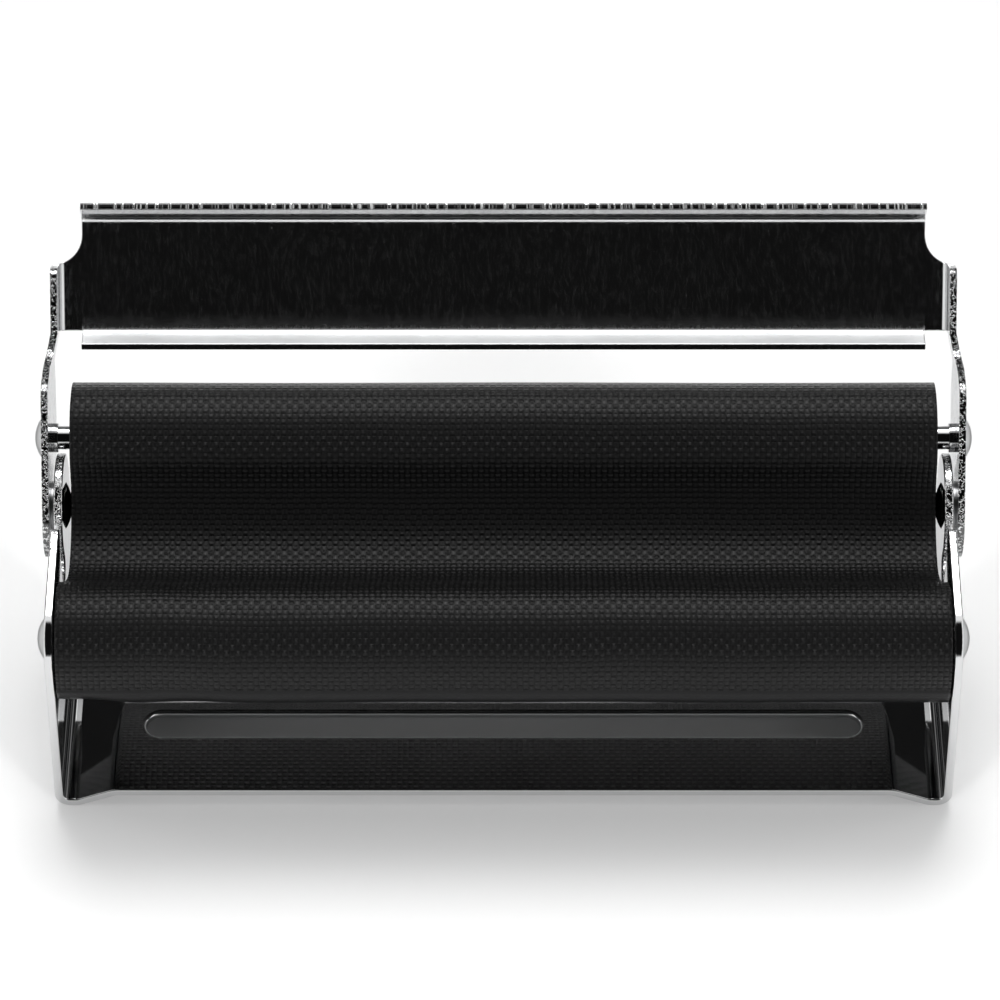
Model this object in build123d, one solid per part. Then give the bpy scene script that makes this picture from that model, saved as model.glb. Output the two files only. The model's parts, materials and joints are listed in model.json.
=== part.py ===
from build123d import *
import os
from math import asin, atan2, cos, degrees, hypot, radians, sin, sqrt, tan

# A hand rolling machine for 70 mm papers, standing open. A bent sheet frame holds the front roller,
# a sheet lever swings on the frame and holds the rear roller, and a woven apron loops round both.
# Millimetres. X runs along the rollers, Y from front to back and Z up, with the feet at Z = 0.

# Frame: one sheet, bent into a base with two upright cheeks
frame_sheet = 0.75
cheek_inner = 37.7           # half the width between the cheeks
cheek_outer = cheek_inner + frame_sheet
front_edge = -18.55          # Y of the frame's front edge; the whole part is centred on Y = 0
base_underside = 1.25        # the base plate stands this high between the feet
base_flat = 33.2             # half the length of the flat base, before it slopes down to a foot
foot_start = 36.4            # the foot's sole runs from here out to the cheek's bend
cheek_bend = 1.3             # outside radii of the sheet's bends
foot_bend = 1.6
edge_round = 0.15            # left on the cut edges by stamping and plating
slot_length = 61.8
slot_width = 2.8
slot_from_front = 7.8
slot_round = 0.35            # the punched slot's upper rim is rolled over

# Rollers
roller_radius = 4.25
roller_bore = 3.55
tube_half = 36.3
lip_width = 0.3
bush_depth = 3.2
lip_radius = 4.1
front_axis_in = 4.0          # front roller's axis, measured back from the front edge
front_axis_z = 16.4
press_gap = 0.01             # radial room between a pressed bush and its tube
journal_gap = 0.05           # running clearance of a roller on its pins
rivet_gap = 0.02             # radial room of a rivet in the sheet that it is fixed in

# Lever: one sheet, a channel bar with an arm at each end
lever_sheet = 0.6
pivot_in = 19.4              # the lever's axis, measured back from the front edge
pivot_z = 17.1
lever_angle = 55.0           # the arms' lean at rest, measured up from +Y
rear_axis_up_arm = 5.9       # rear roller's axis, measured from the pivot along the arm
washer_thickness = 0.36
washer_gap = 0.02            # side play on each face of a pivot washer
arm_inner = cheek_outer + washer_thickness + 2 * washer_gap
arm_outer = arm_inner + lever_sheet
ear_inner = 38.35            # the bar's ends stand a little closer in than the arms
ear_outer = ear_inner + lever_sheet
arm_front = 4.2              # the arm's width, before and behind the pivot
arm_back = 4.8
ear_front = -1.0             # the ear's front edge lies behind the arm's
arm_wide_to = 9.6            # the arm keeps its full width up to here
ear_low = 14.9
ear_high = 20.4
bar_low = 13.15
bar_high = 25.95
bar_half = 36.4              # half the length of the bar's flanges
bar_depth = 2.2
bar_flare = 27.0             # degrees that each flange opens outwards
bar_bend = 1.5
notch_height = 2.6           # of the curve that narrows the bar's ends above the ears
ear_corner = 1.0
ear_bend = 1.2
arm_bend = 1.0

# Rivets and pins
head_radius = 2.05
head_height = 0.85
inner_head_height = 0.55
hole_radius = 0.9            # of the roller pins, where they pass the sheet
shoulder_radius = 1.25
shoulder_length = 0.55
journal_radius = 1.0
pin_tip = 34.3               # half the distance between the two pins' tips in a roller
pivot_radius = 1.25
pivot_turn_gap = 0.04        # running clearance of the lever on its pivot rivets
countersink_radius = 1.85
countersink_depth = 0.4
washer_radius = 2.1

# Cheek outline
front_lobe = 4.0
pivot_lobe = 4.5
pin_slot_width = 2.7         # the curved slot that the rear roller's pin swings through
pin_slot_from = 50.0         # degrees about the pivot
pin_slot_to = 205.0
cheek_corner = 0.7

# Apron: a closed loop of coated cloth
apron_half = 37.0
apron_inside = 4.4
apron_thickness = 0.35
trough_radius = 6.0          # of the middle of the cloth, where it sags between the rollers
apron_slack = 0.8            # the loop hangs this far below the front roller
underside_sag = 3.2          # and this far below the straight line between the rollers

# Places, worked out from the above
front_roller = (front_edge + front_axis_in, front_axis_z)
pivot = (front_edge + pivot_in, pivot_z)
lever_lean = radians(lever_angle)
rear_roller = (
    pivot[0] + rear_axis_up_arm * cos(lever_lean),
    pivot[1] + rear_axis_up_arm * sin(lever_lean),
)
frame_depth = pivot_in + pivot_lobe
across = 2 * (cheek_outer + 10)   # longer than the part is wide

parts = {}


def across_part(side_profile, length=across):
    """A side view, drawn in Y and Z, carried right across the part along X."""
    return extrude(Plane.YZ * side_profile, length / 2, both=True)


def disc(centre, radius):
    return Pos(*centre) * Circle(radius)


def sheet_strip(outer_line, thickness, inward):
    """The section of a bent sheet, from the line of its outer skin."""
    return make_face(offset(outer_line, thickness, side=inward, closed=True))


def soften(solid):
    """Rounds every edge at which two faces meet at more than a slight angle."""
    faces_at = {}
    for face in solid.faces():
        for edge in face.edges():
            faces_at.setdefault(edge, []).append(face)
    sharp = []
    for edge, faces in faces_at.items():
        normals = [face.normal_at(edge @ 0.5) for face in faces]
        if normals[0].get_angle(normals[-1]) > 30:
            sharp.append(edge)
    return fillet(sharp, edge_round)


def on_axis(solid, centre, side):
    """Moves something turned about X to its axis, and mirrors it for the left side."""
    place = Pos(0, centre[0], centre[1])
    return place * (solid if side > 0 else mirror(solid, Plane.YZ))


# Base frame

def frame_channel():
    """The frame seen from the front: base, sloping feet and the upright cheeks."""
    top = pivot_z + pivot_lobe + 1
    skin = FilletPolyline(
        (-cheek_outer, top),
        (-cheek_outer, 0),
        (-foot_start, 0),
        (-base_flat, base_underside),
        (base_flat, base_underside),
        (foot_start, 0),
        (cheek_outer, 0),
        (cheek_outer, top),
        radius=[cheek_bend, foot_bend, foot_bend, foot_bend, foot_bend, cheek_bend],
    )
    section = sheet_strip(skin, frame_sheet, Side.LEFT)
    front_plane = Plane((0, front_edge, 0), x_dir=(1, 0, 0), z_dir=(0, -1, 0))
    return extrude(front_plane * section, -frame_depth)


def cheek_outline():
    """The frame seen from the side: a lobe at each axis, and the slot for the rear roller's pin."""
    foot = Pos(front_edge + frame_depth / 2, 1) * Rectangle(frame_depth, 2)
    outline = make_hull(
        foot.edges() + disc(front_roller, front_lobe).edges() + disc(pivot, pivot_lobe).edges()
    )
    sweep_line = CenterArc(pivot, rear_axis_up_arm, pin_slot_from, pin_slot_to - pin_slot_from)
    outline -= SlotArc(sweep_line, pin_slot_width)
    near_peak = (pivot[0] - pin_slot_width * 2, pivot[1] + pivot_lobe)
    peak = outline.vertices().sort_by_distance(near_peak)[0]
    return fillet(peak, cheek_corner)


def base_frame():
    frame = frame_channel() & across_part(cheek_outline())
    slot = Pos(0, front_edge + slot_from_front) * SlotOverall(slot_length, slot_width)
    base_top = base_underside + frame_sheet
    frame -= extrude(slot, base_top + 1)
    in_slot = Pos(0, slot.center().Y, base_top) * Box(slot_length + 0.2, slot_width + 0.2, 0.2)
    rim = [edge for edge in frame.edges() if in_slot.is_inside(edge @ 0.5)]
    frame = soften(fillet(rim, slot_round))
    frame -= across_part(disc(front_roller, hole_radius + rivet_gap))
    frame -= across_part(disc(pivot, pivot_radius + rivet_gap))
    return frame


parts["base_frame"] = base_frame()


# Lever, drawn upright about its pivot: X along the bar, +Z up the arm and -Y to the front

def bar_channel():
    rise = bar_depth * tan(radians(bar_flare))
    skin = FilletPolyline(
        (arm_back - bar_depth, bar_low),
        (arm_back, bar_low + rise),
        (arm_back, bar_high - rise),
        (arm_back - bar_depth, bar_high),
        radius=bar_bend,
    )
    channel = across_part(sheet_strip(skin, lever_sheet, Side.LEFT), 2 * bar_half)
    lips = channel.edges().filter_by(Axis.X).sort_by(Axis.Y)[:4]
    return fillet(lips, edge_round)


def bar_ends():
    """The web carried past the flanges and bent forward into an ear at each end."""
    skin = FilletPolyline(
        (-ear_outer, -ear_front),
        (-ear_outer, arm_back),
        (ear_outer, arm_back),
        (ear_outer, -ear_front),
        radius=ear_bend,
    )
    web_low = bar_low + bar_depth * tan(radians(bar_flare)) + 0.4
    web_high = ear_high + notch_height
    strip = extrude(Pos(0, 0, web_low) * sheet_strip(skin, lever_sheet, Side.RIGHT), web_high - web_low)
    middle = Pos(0, (bar_low + bar_high) / 2) * Rectangle(2 * bar_half - 1, bar_high)
    strip -= extrude(Plane.XZ * middle, across, both=True)
    notch = ear_outer - bar_half
    for side in (-1, 1):
        corner = Pos(side * (bar_half + notch), web_high) * Ellipse(notch, notch_height)
        strip -= extrude(Plane.XZ * corner, across, both=True)
    side_view = Polyline(
        (arm_back, web_low),
        (arm_back, web_high),
        (arm_back - ear_bend, web_high),
        (arm_back - ear_bend, ear_high),
        (-ear_front, ear_high),
        (-ear_front, web_low),
        close=True,
    )
    return strip & across_part(round_ear(make_face(side_view)))


def round_ear(side_view):
    """Rounds the ear's top front corner in a side view."""
    return fillet(side_view.vertices().sort_by_distance((-ear_front, ear_high))[0], ear_corner)


def arm_sheet():
    """The two arms seen from the front, stepping out from the ears to clear the cheeks."""
    step_low = arm_wide_to + 2.6
    skin = FilletPolyline(
        (ear_outer, ear_high),
        (ear_outer, ear_low),
        (arm_outer, step_low),
        (arm_outer, -arm_back),
        radius=arm_bend,
    )
    right = extrude(Plane.XZ * sheet_strip(skin, lever_sheet, Side.RIGHT), across, both=True)
    return right + mirror(right, Plane.YZ)


def arm_outline():
    """An arm seen from the side: wide and round at the pivot, narrow where it joins the bar."""
    back = arm_back - ear_bend
    lobe = (arm_front + arm_back) / 2
    wide = Pos(lobe - arm_front, 0) * Circle(lobe)
    wide += Pos(lobe - arm_front, arm_wide_to / 2) * Rectangle(2 * lobe, arm_wide_to)
    neck_rise = ear_low - arm_wide_to
    front = Spline(
        (-arm_front, arm_wide_to),
        (-ear_front, ear_low - 0.6),
        tangents=[(0, 1), (0, 1)],
        tangent_scalars=[1.0, 1.0],
    )
    rest = Polyline(
        front @ 1,
        (-ear_front, ear_high),
        (back, ear_high),
        (back, arm_wide_to + neck_rise / 2),
        (arm_back, arm_wide_to),
        (-arm_front, arm_wide_to),
    )
    return round_ear(wide + make_face(Wire([front, *rest.edges()])))


def swing_lever():
    lever = bar_channel() + bar_ends() + (arm_sheet() & across_part(arm_outline()))
    lever -= across_part(Pos(0, rear_axis_up_arm) * Circle(hole_radius + rivet_gap))
    lever -= across_part(Circle(pivot_radius + pivot_turn_gap))
    sink = Cone(pivot_radius, countersink_radius + pivot_turn_gap, countersink_depth + pivot_turn_gap)
    sink = Pos(arm_outer - (countersink_depth + pivot_turn_gap) / 2, 0, 0) * Rot(0, 90, 0) * sink
    lever -= sink
    lever -= mirror(sink, Plane.YZ)
    return Pos(0, pivot[0], pivot[1]) * Rot(lever_angle - 90, 0, 0) * lever


parts["swing_lever"] = swing_lever()


# Rivets, pins and washers, turned about X for the right side

def turned(profile_edges):
    return revolve(make_face(Wire(profile_edges)), Axis.X)


def dome(base_x, height):
    """The arc of a domed head, from its rim to its crown; a negative height faces inwards."""
    bulge = (head_radius**2 + height**2) / (2 * abs(height))
    half_angle = asin(head_radius / bulge) / 2
    lean = 1 if height > 0 else -1
    middle = (base_x + height - lean * bulge * (1 - cos(half_angle)), bulge * sin(half_angle))
    return ThreePointArc((base_x, head_radius), middle, (base_x + height, 0))


def roller_pin(sheet_inside, sheet_thickness):
    """A riveted pin: domed head outside the sheet, shoulder inside it and a journal for the bush."""
    outside = sheet_inside + sheet_thickness
    shoulder = sheet_inside - shoulder_length
    tip = 0.3
    shank = Polyline(
        (outside + head_height, 0),
        (pin_tip, 0),
        (pin_tip, journal_radius - tip),
        (pin_tip + tip, journal_radius),
        (shoulder, journal_radius),
        (shoulder, shoulder_radius),
        (sheet_inside, shoulder_radius),
        (sheet_inside, hole_radius),
        (outside, hole_radius),
        (outside, head_radius),
    )
    return turned([*shank.edges(), dome(outside, head_height)])


def pivot_rivet():
    """Domed inside the cheek, and spread flush in the outside of the arm."""
    shank = Polyline(
        (cheek_inner - inner_head_height, 0),
        (arm_outer, 0),
        (arm_outer, countersink_radius),
        (arm_outer - countersink_depth, pivot_radius),
        (cheek_inner, pivot_radius),
        (cheek_inner, head_radius),
    )
    return turned([*shank.edges(), dome(cheek_inner, -inner_head_height)])


def pivot_washer():
    ring = Circle(washer_radius) - Circle(pivot_radius + pivot_turn_gap)
    return extrude(Plane.YZ.offset(cheek_outer + washer_gap) * ring, washer_thickness)


for side, name in ((-1, "left"), (1, "right")):
    parts["front_roller_pin_" + name] = on_axis(roller_pin(cheek_inner, frame_sheet), front_roller, side)
    parts["rear_roller_pin_" + name] = on_axis(roller_pin(arm_inner, lever_sheet), rear_roller, side)
    parts["pivot_rivet_" + name] = on_axis(pivot_rivet(), pivot, side)
    parts["pivot_washer_" + name] = on_axis(pivot_washer(), pivot, side)


# Rollers: a tube with a bush pressed into each end

def roller_tube():
    return extrude(Plane.YZ * (Circle(roller_radius) - Circle(roller_bore)), tube_half, both=True)


def roller_bush():
    hole = Circle(journal_radius + journal_gap)
    body = extrude(Plane.YZ.offset(tube_half) * (Circle(roller_bore - press_gap) - hole), -bush_depth)
    return body + extrude(Plane.YZ.offset(tube_half) * (Circle(lip_radius) - hole), lip_width)


for name, centre in (("front", front_roller), ("rear", rear_roller)):
    parts[name + "_roller_tube"] = on_axis(roller_tube(), centre, 1)
    parts[name + "_roller_bush_left"] = on_axis(roller_bush(), centre, -1)
    parts[name + "_roller_bush_right"] = on_axis(roller_bush(), centre, 1)


# Apron

def angle_to(start, end):
    return degrees(atan2(end[1] - start[1], end[0] - start[0]))


def apron_loop(outwards):
    """A closed line at this distance outside the middle of the cloth."""
    roller = apron_inside + apron_thickness / 2
    low_front = (front_roller[0], front_roller[1] - apron_slack)
    span = hypot(rear_roller[0] - front_roller[0], rear_roller[1] - front_roller[1])
    lift = sqrt((roller + trough_radius) ** 2 - (span / 2) ** 2)
    slope = radians(angle_to(front_roller, rear_roller))
    trough = (
        (front_roller[0] + rear_roller[0]) / 2 - lift * sin(slope),
        (front_roller[1] + rear_roller[1]) / 2 + lift * cos(slope),
    )
    half_low = hypot(rear_roller[0] - low_front[0], rear_roller[1] - low_front[1]) / 2
    reach = (half_low**2 + underside_sag**2) / (2 * underside_sag)
    slope = radians(angle_to(low_front, rear_roller))
    hang = (
        (low_front[0] + rear_roller[0]) / 2 - (reach - underside_sag) * sin(slope),
        (low_front[1] + rear_roller[1]) / 2 + (reach - underside_sag) * cos(slope),
    )
    hang_start = angle_to(hang, low_front)
    hang_end = angle_to(hang, rear_roller)
    rear_end = angle_to(rear_roller, trough)
    front_start = angle_to(front_roller, trough)
    dip_start = angle_to(trough, rear_roller)
    dip_end = angle_to(trough, front_roller)
    rear_arc = CenterArc(rear_roller, roller + outwards, hang_end, rear_end - hang_end)
    dip_arc = CenterArc(trough, trough_radius - outwards, dip_start, dip_end - dip_start)
    front_arc = CenterArc(front_roller, roller + outwards, front_start, 180 - front_start)
    low_arc = CenterArc(low_front, roller + outwards, 180, 180 + hang_start)
    hang_arc = CenterArc(hang, reach + roller + outwards, hang_start, hang_end - hang_start)
    drop = Line(front_arc @ 1, low_arc @ 0)
    return Wire([rear_arc, dip_arc, front_arc, drop, low_arc, hang_arc])


def apron():
    outside = make_face(apron_loop(apron_thickness / 2))
    inside = make_face(apron_loop(-apron_thickness / 2))
    return across_part(outside - inside, 2 * apron_half)


parts["apron"] = apron()

os.makedirs("parts", exist_ok=True)
for name, solid in parts.items():
    export_step(solid, "parts/" + name + ".step")
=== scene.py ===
import json
from math import atan2, cos, hypot, pi, radians, sin, sqrt

import bpy
import numpy as np
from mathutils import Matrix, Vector


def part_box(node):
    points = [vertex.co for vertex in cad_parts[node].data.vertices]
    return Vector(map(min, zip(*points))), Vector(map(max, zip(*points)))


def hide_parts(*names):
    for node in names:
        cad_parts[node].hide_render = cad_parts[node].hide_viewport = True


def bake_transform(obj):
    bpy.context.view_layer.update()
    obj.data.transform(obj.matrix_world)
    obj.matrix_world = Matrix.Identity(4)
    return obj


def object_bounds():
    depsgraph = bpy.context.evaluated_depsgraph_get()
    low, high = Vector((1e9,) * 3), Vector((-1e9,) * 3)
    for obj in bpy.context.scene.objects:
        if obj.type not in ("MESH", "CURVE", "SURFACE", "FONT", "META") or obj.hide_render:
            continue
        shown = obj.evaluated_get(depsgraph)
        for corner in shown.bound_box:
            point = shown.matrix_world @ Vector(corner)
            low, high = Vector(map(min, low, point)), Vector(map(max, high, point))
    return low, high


# The looks of a small chromed rolling machine: plated sheet and rivets, and a woven apron
# round two rollers. Metres. X runs along the rollers, Y from front to back and Z up.

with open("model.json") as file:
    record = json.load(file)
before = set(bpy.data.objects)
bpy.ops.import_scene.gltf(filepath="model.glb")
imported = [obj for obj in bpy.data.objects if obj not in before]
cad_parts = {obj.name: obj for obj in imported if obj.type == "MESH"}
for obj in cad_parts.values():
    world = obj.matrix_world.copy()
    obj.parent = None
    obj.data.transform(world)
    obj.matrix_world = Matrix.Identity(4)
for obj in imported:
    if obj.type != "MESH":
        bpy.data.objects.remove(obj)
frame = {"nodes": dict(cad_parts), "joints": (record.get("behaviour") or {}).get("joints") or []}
cad_low, cad_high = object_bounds()
MM = 0.001


# ---- Places, read from the frame ----

def joint_place(name):
    joint = next(j for j in frame["joints"] if j["name"] == name)
    return Vector(joint["pos_m"])


front_roller = joint_place("front_roller_spin")
rear_roller = joint_place("rear_roller_spin")
pivot = joint_place("lever_swing")
apron_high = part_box("apron")[1]
frame_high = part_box("base_frame")[1]

# Lever, in its own directions: along the arm from the pivot, and ahead of the arm's middle line
lever_turn = atan2(rear_roller.z - pivot.z, rear_roller.y - pivot.y)
bar_flare = radians(27)      # each flange opens outwards
bar_middle = 19.55 * MM
bar_reach = 6.4 * MM         # from the bar's middle to a lip
bar_half = 36.45 * MM
lip_ahead = -2.6 * MM
lip_depth = 0.09 * MM
arm_from = 38.2 * MM         # the ears and arms lie outside this

# Apron
apron_half = apron_high.x
cloth_thickness = 0.35 * MM
roller_radius = apron_high.z - rear_roller.z - cloth_thickness / 2   # to the middle of the cloth
apron_slack = 0.8 * MM
underside_sag = 3.2 * MM
trough_radius = 6.0 * MM
front_width_gain = 0.5 * MM  # the cloth is a little wider at the front, on each side
thread_pitch = 0.48 * MM
row_step = 0.2 * MM
columns = 301
tape_width = 6 * MM
tape_height = 0.08 * MM
corner_lift = 0.45 * MM      # the lower left corner has crept up


# ---- Shader helpers ----

class Nodes:
    """A short way to write a material's node tree."""

    def __init__(self, name):
        self.material = bpy.data.materials.new(name)
        self.material.use_nodes = True
        self.tree = self.material.node_tree
        self.shader = self.tree.nodes["Principled BSDF"]

    def add(self, kind, **settings):
        node = self.tree.nodes.new(kind)
        for key, value in settings.items():
            setattr(node, key, value)
        return node

    def link(self, source, target):
        self.tree.links.new(source, target)

    def feed(self, socket, value):
        if isinstance(value, bpy.types.NodeSocket):
            self.link(value, socket)
        else:
            socket.default_value = value

    def math(self, operation, a, b=0.0, c=0.0):
        node = self.add("ShaderNodeMath", operation=operation)
        for socket, value in zip(node.inputs, (a, b, c)):
            self.feed(socket, value)
        return node.outputs[0]

    def mix(self, share, a, b):
        """a where share is 0 and b where it is 1, for numbers."""
        node = self.add("ShaderNodeMix", data_type="FLOAT")
        self.feed(node.inputs["Factor"], share)
        self.feed(node.inputs["A"], a)
        self.feed(node.inputs["B"], b)
        return node.outputs["Result"]

    def mix_colour(self, share, a, b):
        node = self.add("ShaderNodeMix", data_type="RGBA")
        self.feed(node.inputs["Factor"], share)
        self.feed(node.inputs[6], a)
        self.feed(node.inputs[7], b)
        return node.outputs[2]

    def ramp(self, value, low, high):
        """0 below low and 1 above high, smooth between."""
        node = self.add("ShaderNodeMapRange", interpolation_type="SMOOTHSTEP")
        self.feed(node.inputs["Value"], value)
        node.inputs["From Min"].default_value = low
        node.inputs["From Max"].default_value = high
        return node.outputs["Result"]

    def place(self, scale):
        """Object coordinates, scaled on each axis."""
        scaled = self.add("ShaderNodeMapping")
        scaled.inputs["Scale"].default_value = scale
        self.link(self.add("ShaderNodeTexCoord").outputs["Object"], scaled.inputs["Vector"])
        return scaled.outputs[0]

    def noise(self, vector, detail=2.0, roughness=0.5):
        node = self.add("ShaderNodeTexNoise")
        self.link(vector, node.inputs["Vector"])
        node.inputs["Scale"].default_value = 1.0
        node.inputs["Detail"].default_value = detail
        node.inputs["Roughness"].default_value = roughness
        return node.outputs[0]

    def bump(self, height, distance, after=None):
        node = self.add("ShaderNodeBump")
        self.feed(node.inputs["Height"], height)
        node.inputs["Distance"].default_value = distance
        node.inputs["Strength"].default_value = 1.0
        if after is not None:
            self.link(after, node.inputs["Normal"])
        return node.outputs[0]

    def split(self, vector):
        node = self.add("ShaderNodeSeparateXYZ")
        self.link(vector, node.inputs[0])
        return node.outputs

    def normal(self):
        """The mesh's own normal, without bump."""
        return self.split(self.add("ShaderNodeNewGeometry").outputs["Normal"])

    def surface(self, **values):
        for name, value in values.items():
            self.feed(self.shader.inputs[name.replace("_", " ")], value)


# ---- Chrome ----

def grey(level):
    """A very slightly cool grey."""
    return (level * 0.995, level, level * 1.005, 1)


pit_depth = 0.07 * MM
edge_roughness = 0.08
dull_roughness = 0.3


def plated(
    name, edge_mask, ticks, wear, grain_depth, polish, streak, edge_round, tone, rim_tint_and_shade, cut_edge_tone_and_shade
):
    """Chrome plate over rolled sheet: upright grain, a dull bend, and cut edges painted in their own
    tone, broken by marks that keep the plate's colour. On the lever that edge tone is near black, a
    painted shade for the dark its lips and rims reflect.
    """
    n = Nodes(name)
    fine = n.noise(n.place(scale=(6500, 1500, 1500)), detail=3.0, roughness=0.65)
    broad = n.noise(n.place(scale=(2600, 800, 800)), detail=2.0)
    grain = n.mix(0.4, fine, broad)
    cloud = n.noise(n.place(scale=(180, 180, 180)), detail=3.0)
    edge, marks = edge_mask(n), ticks(n)
    plate = n.mix_colour(n.ramp(cloud, 0.3, 0.8), grey(tone * 1.03), grey(tone * 0.94))
    # the cut edges take the edge tone, which on the lever is a near-black painted shade; the marks leave
    # spots of plain plate
    edge_shade_and_tone_share = n.math("MULTIPLY", edge, n.math("SUBTRACT", 1.0, marks))
    rough = n.mix(n.ramp(grain, 0.4, 0.62), polish, polish + streak)
    n.surface(
        Base_Color=n.mix_colour(edge_shade_and_tone_share, plate, grey(cut_edge_tone_and_shade)),
        Metallic=1.0,
        Specular_Tint=grey(rim_tint_and_shade),
        Roughness=n.mix(edge, n.mix(wear(n), rough, dull_roughness), edge_roughness),
    )
    rounded = None
    if edge_round:
        bevel = n.add("ShaderNodeBevel", samples=6)
        bevel.inputs["Radius"].default_value = edge_round
        rounded = bevel.outputs[0]
    face_grain = n.math("MULTIPLY", grain, n.math("SUBTRACT", 1.0, edge))
    brushed = n.bump(face_grain, grain_depth, after=rounded)
    pits = n.math("MULTIPLY", marks, edge)
    n.feed(n.shader.inputs["Normal"], n.bump(pits, pit_depth, after=brushed))
    return n.material


def ticks_along(n, distance, per_metre, sparse):
    """Short marks across a cut edge, irregular along it."""
    noise = n.add("ShaderNodeTexNoise", noise_dimensions="1D")
    n.feed(noise.inputs["W"], distance)
    noise.inputs["Scale"].default_value = per_metre
    noise.inputs["Detail"].default_value = 3.0
    noise.inputs["Roughness"].default_value = 0.7
    return n.ramp(noise.outputs[0], sparse, sparse + 0.1)


def specks(n, per_metre, sparse):
    """Small pits scattered over a cut edge."""
    return n.ramp(n.noise(n.place(scale=(per_metre,) * 3), detail=2.0), sparse, sparse + 0.1)


def frame_edges(n):
    """1 on the frame's cut edges: they face front or back, or lie in a cheek's thickness."""
    x, y, z = n.split(n.add("ShaderNodeTexCoord").outputs["Object"])
    nx, ny, nz = n.normal()
    facing = n.math("GREATER_THAN", n.math("ABSOLUTE", ny), 0.3)
    cheek = n.math("GREATER_THAN", n.math("ABSOLUTE", x), frame_high.x - 0.8 * MM)
    upright = n.math("GREATER_THAN", z, 3 * MM)
    rim = n.math("LESS_THAN", n.math("ABSOLUTE", nx), 0.5)
    return n.math("MAXIMUM", facing, n.math("MULTIPLY", n.math("MULTIPLY", cheek, upright), rim))


def frame_ticks(n):
    """Marks only round the pivot lobes: the front edges are smooth."""
    x, y, z = n.split(n.add("ShaderNodeTexCoord").outputs["Object"])
    cheek = n.math("GREATER_THAN", n.math("ABSOLUTE", x), frame_high.x - 3 * MM)
    lobe = n.math("MULTIPLY", cheek, n.ramp(y, front_roller.y + 4 * MM, front_roller.y + 7 * MM))
    return n.math("MULTIPLY", specks(n, 3600, 0.5), lobe)


def lever_place(n):
    """The distance up the arm and in front of its middle line."""
    x, y, z = n.split(n.add("ShaderNodeTexCoord").outputs["Object"])
    back, up = n.math("SUBTRACT", y, pivot.y), n.math("SUBTRACT", z, pivot.z)
    rise, run = sin(lever_turn), cos(lever_turn)
    along = n.math("ADD", n.math("MULTIPLY", back, run), n.math("MULTIPLY", up, rise))
    ahead = n.math("SUBTRACT", n.math("MULTIPLY", up, run), n.math("MULTIPLY", back, rise))
    return x, along, ahead


def lever_edges(n):
    """1 on the lever's cut edges: the bar's lips and the rims of the arms and ears, where the near-black
    painted shade goes.
    """
    x, along, ahead = lever_place(n)
    nx, ny, nz = n.normal()
    in_bar = n.math("LESS_THAN", n.math("ABSOLUTE", x), bar_half)
    off_middle = n.math("ABSOLUTE", n.math("SUBTRACT", along, bar_middle))
    out_flange = n.math(
        "ADD",
        n.math("MULTIPLY", n.math("SUBTRACT", ahead, lip_ahead), cos(bar_flare)),
        n.math("MULTIPLY", n.math("SUBTRACT", off_middle, bar_reach), sin(bar_flare)),
    )
    lip = n.math("MULTIPLY", in_bar, n.math("GREATER_THAN", out_flange, -lip_depth))
    side = n.math("GREATER_THAN", n.math("ABSOLUTE", x), arm_from)
    rim = n.math("MULTIPLY", side, n.math("LESS_THAN", n.math("ABSOLUTE", nx), 0.45))
    before_web = n.math("GREATER_THAN", ahead, -3.4 * MM)
    below_bar = n.math("LESS_THAN", along, 14 * MM)
    clear = n.math("MAXIMUM", before_web, below_bar)
    return n.math("MAXIMUM", lip, n.math("MULTIPLY", rim, clear))


def lever_ticks(n):
    """Marks across the upper lip, none on the lower one, and pits on the arms' rims."""
    x, along, ahead = lever_place(n)
    in_bar = n.math("LESS_THAN", n.math("ABSOLUTE", x), 37 * MM)
    lip_marks = n.math("MULTIPLY", ticks_along(n, x, 1900, 0.53), n.ramp(along, 17 * MM, 22 * MM))
    return n.mix(in_bar, specks(n, 3800, 0.48), lip_marks)


def lever_wear(n):
    """The plate is dull where the bar's web turns into its lower flange."""
    x, along, ahead = lever_place(n)
    in_bar = n.math("LESS_THAN", n.math("ABSOLUTE", x), bar_half)
    return n.math("MULTIPLY", in_bar, n.math("SUBTRACT", 1.0, n.ramp(along, 14.3 * MM, 16.8 * MM)))


def plain(n):
    """No edges, marks or wear."""
    return 0.0


def paint(node, material):
    frame["nodes"][node].data.materials.clear()
    frame["nodes"][node].data.materials.append(material)


frame_chrome = plated(
    "frame_chrome", frame_edges, frame_ticks, plain,
    grain_depth=0.0, polish=0.03, streak=0.02, edge_round=None,
    tone=0.56, rim_tint_and_shade=0.62, cut_edge_tone_and_shade=0.68,
)
# the lever's cut edges are painted near black (0.13), a painted shade standing in for the dark they
# reflect
lever_chrome = plated(
    "lever_chrome", lever_edges, lever_ticks, lever_wear,
    grain_depth=0.004 * MM, polish=0.08, streak=0.12, edge_round=0.14 * MM,
    tone=0.7, rim_tint_and_shade=0.72, cut_edge_tone_and_shade=0.13,
)
# the rivets are a darker copy of the chrome with darker rims, a painted shade that draws the domes' grey
# shading and outlines
rivet_chrome = plated(
    "rivet_chrome", plain, plain, plain,
    grain_depth=0.0002 * MM, polish=0.05, streak=0.05, edge_round=0.06 * MM,
    tone=0.5, rim_tint_and_shade=0.45, cut_edge_tone_and_shade=0.5,
)


def drawn_steel():
    n = Nodes("roller_steel")
    rings = n.noise(n.place(scale=(5000, 200, 200)), detail=3.0)
    cloud = n.noise(n.place(scale=(260, 260, 260)), detail=3.0)
    n.surface(
        Base_Color=n.mix_colour(cloud, (0.5, 0.5, 0.51, 1), (0.62, 0.62, 0.63, 1)),
        Metallic=1.0,
        Roughness=n.mix(cloud, 0.28, 0.42),
        Normal=n.bump(rings, 0.01 * MM),
    )
    return n.material


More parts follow.
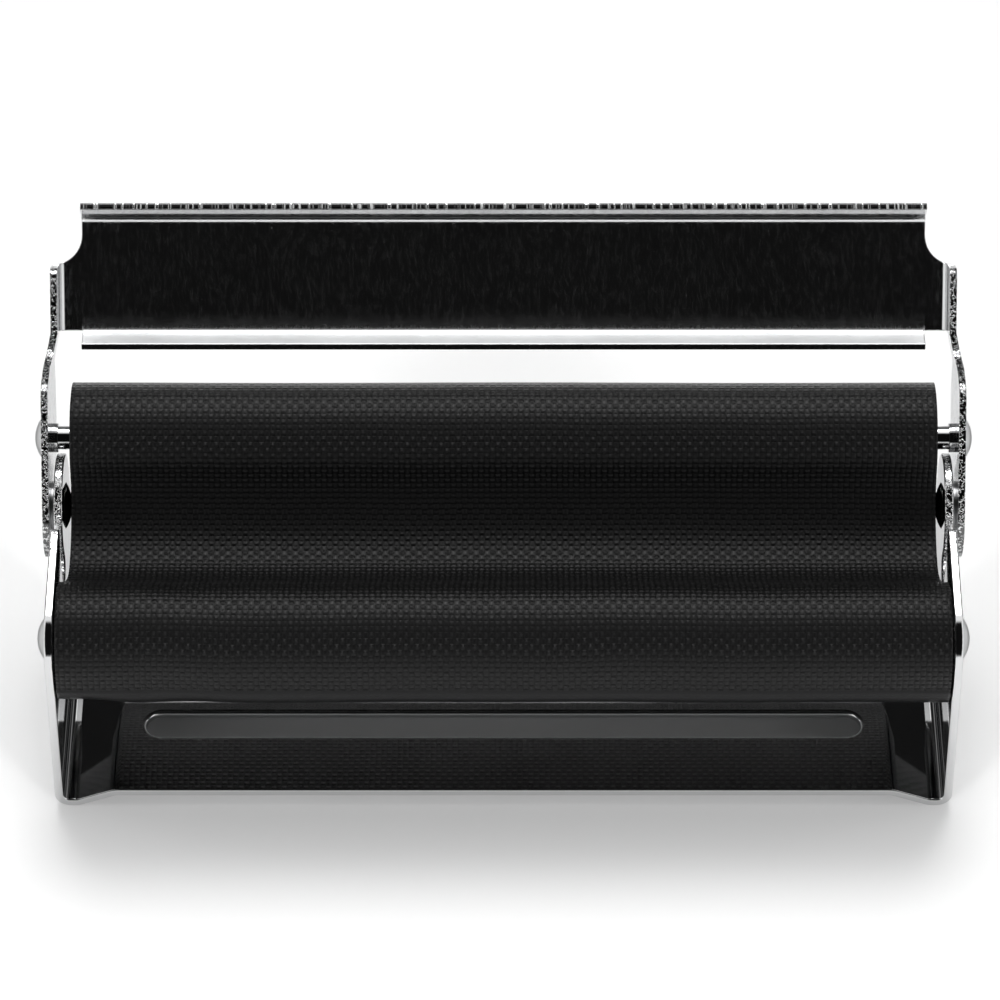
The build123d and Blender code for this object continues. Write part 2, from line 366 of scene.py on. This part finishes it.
def moulded_black():
    n = Nodes("bush_plastic")
    grain = n.noise(n.place(scale=(2600, 2600, 2600)), detail=2.0)
    cloud = n.noise(n.place(scale=(300, 300, 300)), detail=2.0)
    n.surface(
        Base_Color=n.mix_colour(cloud, (0.022, 0.022, 0.023, 1), (0.04, 0.04, 0.042, 1)),
        Roughness=n.mix(grain, 0.42, 0.6),
        Normal=n.bump(grain, 0.01 * MM),
    )
    return n.material


steel, black = drawn_steel(), moulded_black()
paint("base_frame", frame_chrome)
paint("swing_lever", lever_chrome)
for side in ("left", "right"):
    for part in ("front_roller_pin_", "rear_roller_pin_", "pivot_rivet_"):
        paint(part + side, rivet_chrome)
    paint("pivot_washer_" + side, steel)
    for end in ("front", "rear"):
        paint(end + "_roller_bush_" + side, black)
for end in ("front", "rear"):
    paint(end + "_roller_tube", steel)


# ---- Apron ----

def turn_to(start, end):
    return atan2(end[1] - start[1], end[0] - start[0])


def arc_row(centre, radius, start, end, step, outward=1):
    """Points along an arc and the cloth's outward normal at each."""
    count = max(2, round(abs(end - start) * radius / step))
    angle = np.linspace(start, end, count, endpoint=False)
    ray = np.stack([np.cos(angle), np.sin(angle)], axis=1)
    return np.array(centre) + radius * ray, outward * ray


def loop_line(step):
    """The cloth's middle line in Y and Z, from under the rear roller round, and its outward normals."""
    front, rear = front_roller.yz, rear_roller.yz
    low_front = (front[0], front[1] - apron_slack)
    span = hypot(rear[0] - front[0], rear[1] - front[1])
    lift = sqrt((roller_radius + trough_radius) ** 2 - (span / 2) ** 2)
    slope = turn_to(front, rear)
    trough = (
        (front[0] + rear[0]) / 2 - lift * sin(slope),
        (front[1] + rear[1]) / 2 + lift * cos(slope),
    )
    half_low = hypot(rear[0] - low_front[0], rear[1] - low_front[1]) / 2
    reach = (half_low**2 + underside_sag**2) / (2 * underside_sag)
    slope = turn_to(low_front, rear)
    hang = (
        (low_front[0] + rear[0]) / 2 - (reach - underside_sag) * sin(slope),
        (low_front[1] + rear[1]) / 2 + (reach - underside_sag) * cos(slope),
    )
    hang_start, hang_end = turn_to(hang, low_front), turn_to(hang, rear)
    drop_count = round(apron_slack / step)
    drop_z = front[1] - np.arange(drop_count) * apron_slack / drop_count
    drop = np.stack([np.full(drop_count, front[0] - roller_radius), drop_z], axis=1)
    rows = [
        arc_row(rear, roller_radius, hang_end, turn_to(rear, trough), step),
        arc_row(trough, trough_radius, turn_to(trough, rear), turn_to(trough, front), step, -1),
        arc_row(front, roller_radius, turn_to(front, trough), pi, step),
        (drop, np.tile((-1.0, 0.0), (drop_count, 1))),
        arc_row(low_front, roller_radius, -pi, hang_start, step),
        arc_row(hang, reach + roller_radius, hang_start, hang_end, step),
    ]
    points = np.concatenate([row[0] for row in rows])
    normals = np.concatenate([row[1] for row in rows])
    return points, normals


def seam_places():
    """The lap seam's taped strip, as distances round the loop, from the front roller's lower front."""
    line = loop_line(row_step)[0]
    below = front_roller.z - apron_slack - 0.5 * MM
    lower_front = (line[:, 0] < front_roller.y) & (line[:, 1] < below)
    first = int(np.argmax(lower_front))
    start = float(np.linalg.norm(np.diff(line[: first + 1], axis=0), axis=1).sum())
    return start, start + tape_width


def smooth(value, low, high):
    share = np.clip((value - low) / (high - low), 0, 1)
    return share * share * (3 - 2 * share)


def uneven(x, s, front_share):
    """How far the cloth stands off its line, in millimetres: slack ripples and a few slanting folds."""
    ripple = 0.025 * np.sin(x / (6.3 * MM) + 1.3) * np.sin(s / (4.1 * MM))
    ripple += 0.02 * np.sin(x / (2.9 * MM) + s / (3.3 * MM)) * front_share
    fold = np.exp(-(((x + 27 * MM) / (7 * MM)) ** 2)) * front_share
    ripple += 0.07 * fold * np.sin((x - s) / (2.2 * MM))
    return np.clip(ripple, -0.1, 0.2)


def build_apron():
    """Two skins of one closed strip, joined along both sides, with the weave's UV map in millimetres."""
    line, out = loop_line(row_step)
    length = np.linalg.norm(np.roll(line, -1, axis=0) - line, axis=1)
    total = float(length.sum())
    along = np.concatenate([[0], np.cumsum(length)])
    # the first row is repeated at the end of the UV strip, so the weave has no jump there
    line, out = np.vstack([line, line[:1]]), np.vstack([out, out[:1]])
    across = np.linspace(-1, 1, columns)
    x_share, row = np.meshgrid(across, np.arange(len(line)))
    y, z = line[row, 0], line[row, 1]
    s = along[row]
    front_share = 1 - smooth(y, front_roller.y + 1 * MM, front_roller.y + 7 * MM)
    x = x_share * (apron_half + front_width_gain * front_share)
    seam_opens = smooth(s, seam_start, seam_start + 0.15 * MM)
    seam_closes = smooth(s, seam_end - 0.15 * MM, seam_end)
    proud = uneven(x, s, front_share) * MM + tape_height * seam_opens * (1 - seam_closes)
    low_front = 1 - smooth(z, front_roller.z - 4.5 * MM, front_roller.z - 1 * MM)
    z = z + corner_lift * smooth(-x, 30.5 * MM, 35.5 * MM) * low_front * front_share
    skins = []
    for side in (1, -1):
        gap = proud + side * cloth_thickness / 2
        skins.append(np.stack([x, y + out[row, 0] * gap, z + out[row, 1] * gap], axis=-1))
    rows, wide = x.shape[0] - 1, x.shape[1]
    verts = np.concatenate([skin[:-1].reshape(-1, 3) for skin in skins])
    grid = np.arange(rows * wide).reshape(rows, wide)
    here, ahead = grid, np.roll(grid, -1, axis=0)
    top = np.stack([here[:, :-1], ahead[:, :-1], ahead[:, 1:], here[:, 1:]], axis=-1).reshape(-1, 4)
    under = top[:, ::-1] + rows * wide

    def side_faces(first, second):
        return np.stack([first, first + rows * wide, second + rows * wide, second], axis=-1)

    left = side_faces(here[:, 0], ahead[:, 0])
    right = side_faces(ahead[:, -1], here[:, -1])
    faces = np.concatenate([top, under, left, right])
    mesh = bpy.data.meshes.new("apron_cloth")
    mesh.from_pydata(verts.tolist(), [], faces.tolist())
    corner = np.zeros(len(mesh.loops), np.int32)
    mesh.loops.foreach_get("vertex_index", corner)
    corner %= rows * wide
    u, v = x[corner // wide, corner % wide], s[corner // wide, 0]
    v = v.reshape(-1, 4)
    wrapped = (v.max(axis=1) - v.min(axis=1)) > total / 2
    v[wrapped] = np.where(v[wrapped] < total / 2, total, v[wrapped])
    uv = np.stack([u, v.ravel()], axis=1) / MM
    mesh.uv_layers.new(name="cloth").data.foreach_set("uv", uv.astype(np.float32).ravel())
    mesh.polygons.foreach_set("use_smooth", np.ones(len(mesh.polygons), bool))
    mesh.update()
    obj = bpy.data.objects.new("apron_cloth", mesh)
    bpy.context.collection.objects.link(obj)
    return obj, total


def apron_cloth():
    """Plain weave in coated black thread, with painted shade in the gaps between the threads, and a
    smooth taped strip at the lap seam.
    """
    n = Nodes("apron_cloth")
    u, v, _ = n.split(n.add("ShaderNodeUVMap", uv_map="cloth").outputs[0])
    wander = n.noise(n.place(scale=(90, 90, 90)), detail=2.0)
    pitch = thread_pitch / MM
    a = n.math("ADD", n.math("DIVIDE", u, pitch), n.math("MULTIPLY", wander, 0.9))
    b = n.math("ADD", n.math("DIVIDE", v, pitch), n.math("MULTIPLY", wander, -0.7))
    parity = n.math("FLOORED_MODULO", n.math("ADD", n.math("FLOOR", a), n.math("FLOOR", b)), 2.0)
    arch_a = n.math("SINE", n.math("MULTIPLY", n.math("FRACT", a), pi))
    arch_b = n.math("SINE", n.math("MULTIPLY", n.math("FRACT", b), pi))
    off_b = n.math("ABSOLUTE", n.math("MULTIPLY_ADD", n.math("FRACT", b), 2.0, -1.0))
    tent_b = n.math("SUBTRACT", 1.0, off_b)
    weft = n.math("MULTIPLY", n.math("POWER", arch_a, 0.7), n.math("POWER", tent_b, 0.85))
    warp = n.math("MULTIPLY", n.math("POWER", arch_a, 0.8), n.math("POWER", arch_b, 0.2))
    weave = n.mix(parity, weft, n.math("MULTIPLY", warp, 0.42))
    tape = n.math(
        "MULTIPLY",
        n.math("GREATER_THAN", v, seam_start / MM),
        n.math("LESS_THAN", v, seam_end / MM),
    )
    weave = n.math("MULTIPLY", weave, n.mix(tape, 1.0, 0.04))
    cloud = n.noise(n.place(scale=(150, 150, 150)), detail=3.0)
    fuzz = n.noise(n.place(scale=(5200, 5200, 5200)), detail=2.0)
    # lighter thread crowns and near-black gaps: the gaps are a painted shade in the weave's hollows
    thread_tone_and_gap_shade = n.mix_colour(weave, (0.0003, 0.0003, 0.0003, 1), (0.0095, 0.0095, 0.0097, 1))
    n.surface(
        Base_Color=n.mix_colour(tape, thread_tone_and_gap_shade, (0.005, 0.005, 0.0052, 1)),
        Roughness=n.mix(cloud, 0.26, 0.38),
        Specular_IOR_Level=0.09,
        Coat_Weight=n.mix(tape, 0.58, 0.2),
        Coat_Roughness=0.38,
        Coat_IOR=1.28,
    )
    height = n.math("ADD", weave, n.math("MULTIPLY", fuzz, 0.1))
    n.feed(n.shader.inputs["Normal"], n.bump(height, 0.32 * MM))
    n.feed(n.shader.inputs["Coat Normal"], n.bump(height, 0.05 * MM))
    return n.material


seam_start, seam_end = seam_places()
apron, apron_length = build_apron()
apron.data.materials.append(apron_cloth())
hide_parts("apron")
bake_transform(apron)


# ---- Floor, light and camera ----

def stage():
    mesh = bpy.data.meshes.new("floor")
    reach = 3.0
    corners = [(-reach, -reach, 0), (reach, -reach, 0), (reach, reach, 0), (-reach, reach, 0)]
    mesh.from_pydata(corners, [], [(0, 1, 2, 3)])
    floor = bpy.data.objects.new("floor", mesh)
    bpy.context.collection.objects.link(floor)
    n = Nodes("floor_white")
    tone = n.noise(n.place(scale=(3, 3, 3)), detail=1.0)
    n.surface(
        Base_Color=n.mix_colour(tone, (0.93, 0.93, 0.93, 1), (0.95, 0.95, 0.95, 1)),
        Roughness=0.9,
        Specular_IOR_Level=0.1,
    )
    floor.data.materials.append(n.material)


def studio():
    """White all round, a brighter top light behind the object, and a dark side at the camera."""
    world = bpy.data.worlds.new("studio")
    bpy.context.scene.world = world
    world.use_nodes = True
    tree = world.node_tree
    background = tree.nodes["Background"]
    direction = tree.nodes.new("ShaderNodeTexCoord").outputs["Generated"]

    def lobe(axis, inner, outer):
        """1 within inner degrees of the axis and 0 beyond outer."""
        dot = tree.nodes.new("ShaderNodeVectorMath")
        dot.operation = "DOT_PRODUCT"
        tree.links.new(direction, dot.inputs[0])
        dot.inputs[1].default_value = axis
        fade = tree.nodes.new("ShaderNodeMapRange")
        fade.interpolation_type = "SMOOTHSTEP"
        fade.inputs["From Min"].default_value = cos(radians(outer))
        fade.inputs["From Max"].default_value = cos(radians(inner))
        tree.links.new(dot.outputs["Value"], fade.inputs["Value"])
        return fade.outputs["Result"]

    def mixed(share, a, b):
        node = tree.nodes.new("ShaderNodeMix")
        tree.links.new(share, node.inputs["Factor"])
        for socket, value in ((node.inputs["A"], a), (node.inputs["B"], b)):
            if isinstance(value, bpy.types.NodeSocket):
                tree.links.new(value, socket)
            else:
                socket.default_value = value
        return node.outputs["Result"]

    def ramp(value, low, high):
        fade = tree.nodes.new("ShaderNodeMapRange")
        fade.interpolation_type = "SMOOTHSTEP"
        fade.inputs["From Min"].default_value = low
        fade.inputs["From Max"].default_value = high
        tree.links.new(value, fade.inputs["Value"])
        return fade.outputs["Result"]

    split = tree.nodes.new("ShaderNodeSeparateXYZ")
    tree.links.new(direction, split.inputs[0])
    softbox = lobe((0, cos(radians(60)), sin(radians(60))), 9, 20)
    camera_side = lobe((0, -0.72, 0.69), 38, 48)
    light = mixed(softbox, 1.06, 8.5)
    shelf = mixed(ramp(split.outputs["Z"], 0.36, 0.44), 0.25, 0.02)
    shelf = mixed(ramp(split.outputs["Z"], 0.70, 0.77), shelf, light)
    light = mixed(ramp(split.outputs["Y"], 0.3, 0.45), light, shelf)
    tree.links.new(mixed(camera_side, light, 0.006), background.inputs["Strength"])
    background.inputs["Color"].default_value = (1, 1, 1, 1)
    fill_elevation = 11
    for name, azimuth in (("fill_left", -40), ("fill_right", 40)):
        sun = bpy.data.lights.new(name, "SUN")
        sun.energy = 2.0
        sun.angle = radians(14)
        lamp = bpy.data.objects.new(name, sun)
        lamp.rotation_euler = (radians(90 - fill_elevation), 0, radians(azimuth))
        lamp.visible_glossy = False
        bpy.context.collection.objects.link(lamp)


def camera():
    lens = bpy.data.cameras.new("camera")
    lens.lens = 198
    lens.sensor_width = 36
    lens.clip_start, lens.clip_end = 0.01, 20
    eye = bpy.data.objects.new("camera", lens)
    bpy.context.collection.objects.link(eye)
    elevation, distance = radians(44), 0.4722
    aim = (cad_low + cad_high) / 2 + Vector((-0.3, 0, 0.43)) * MM
    eye.location = aim + distance * Vector((0, -cos(elevation), sin(elevation)))
    eye.rotation_euler = (pi / 2 - elevation, 0, 0)
    bpy.context.scene.camera = eye


stage()
studio()
camera()
bpy.context.scene.view_settings.view_transform = "Standard"
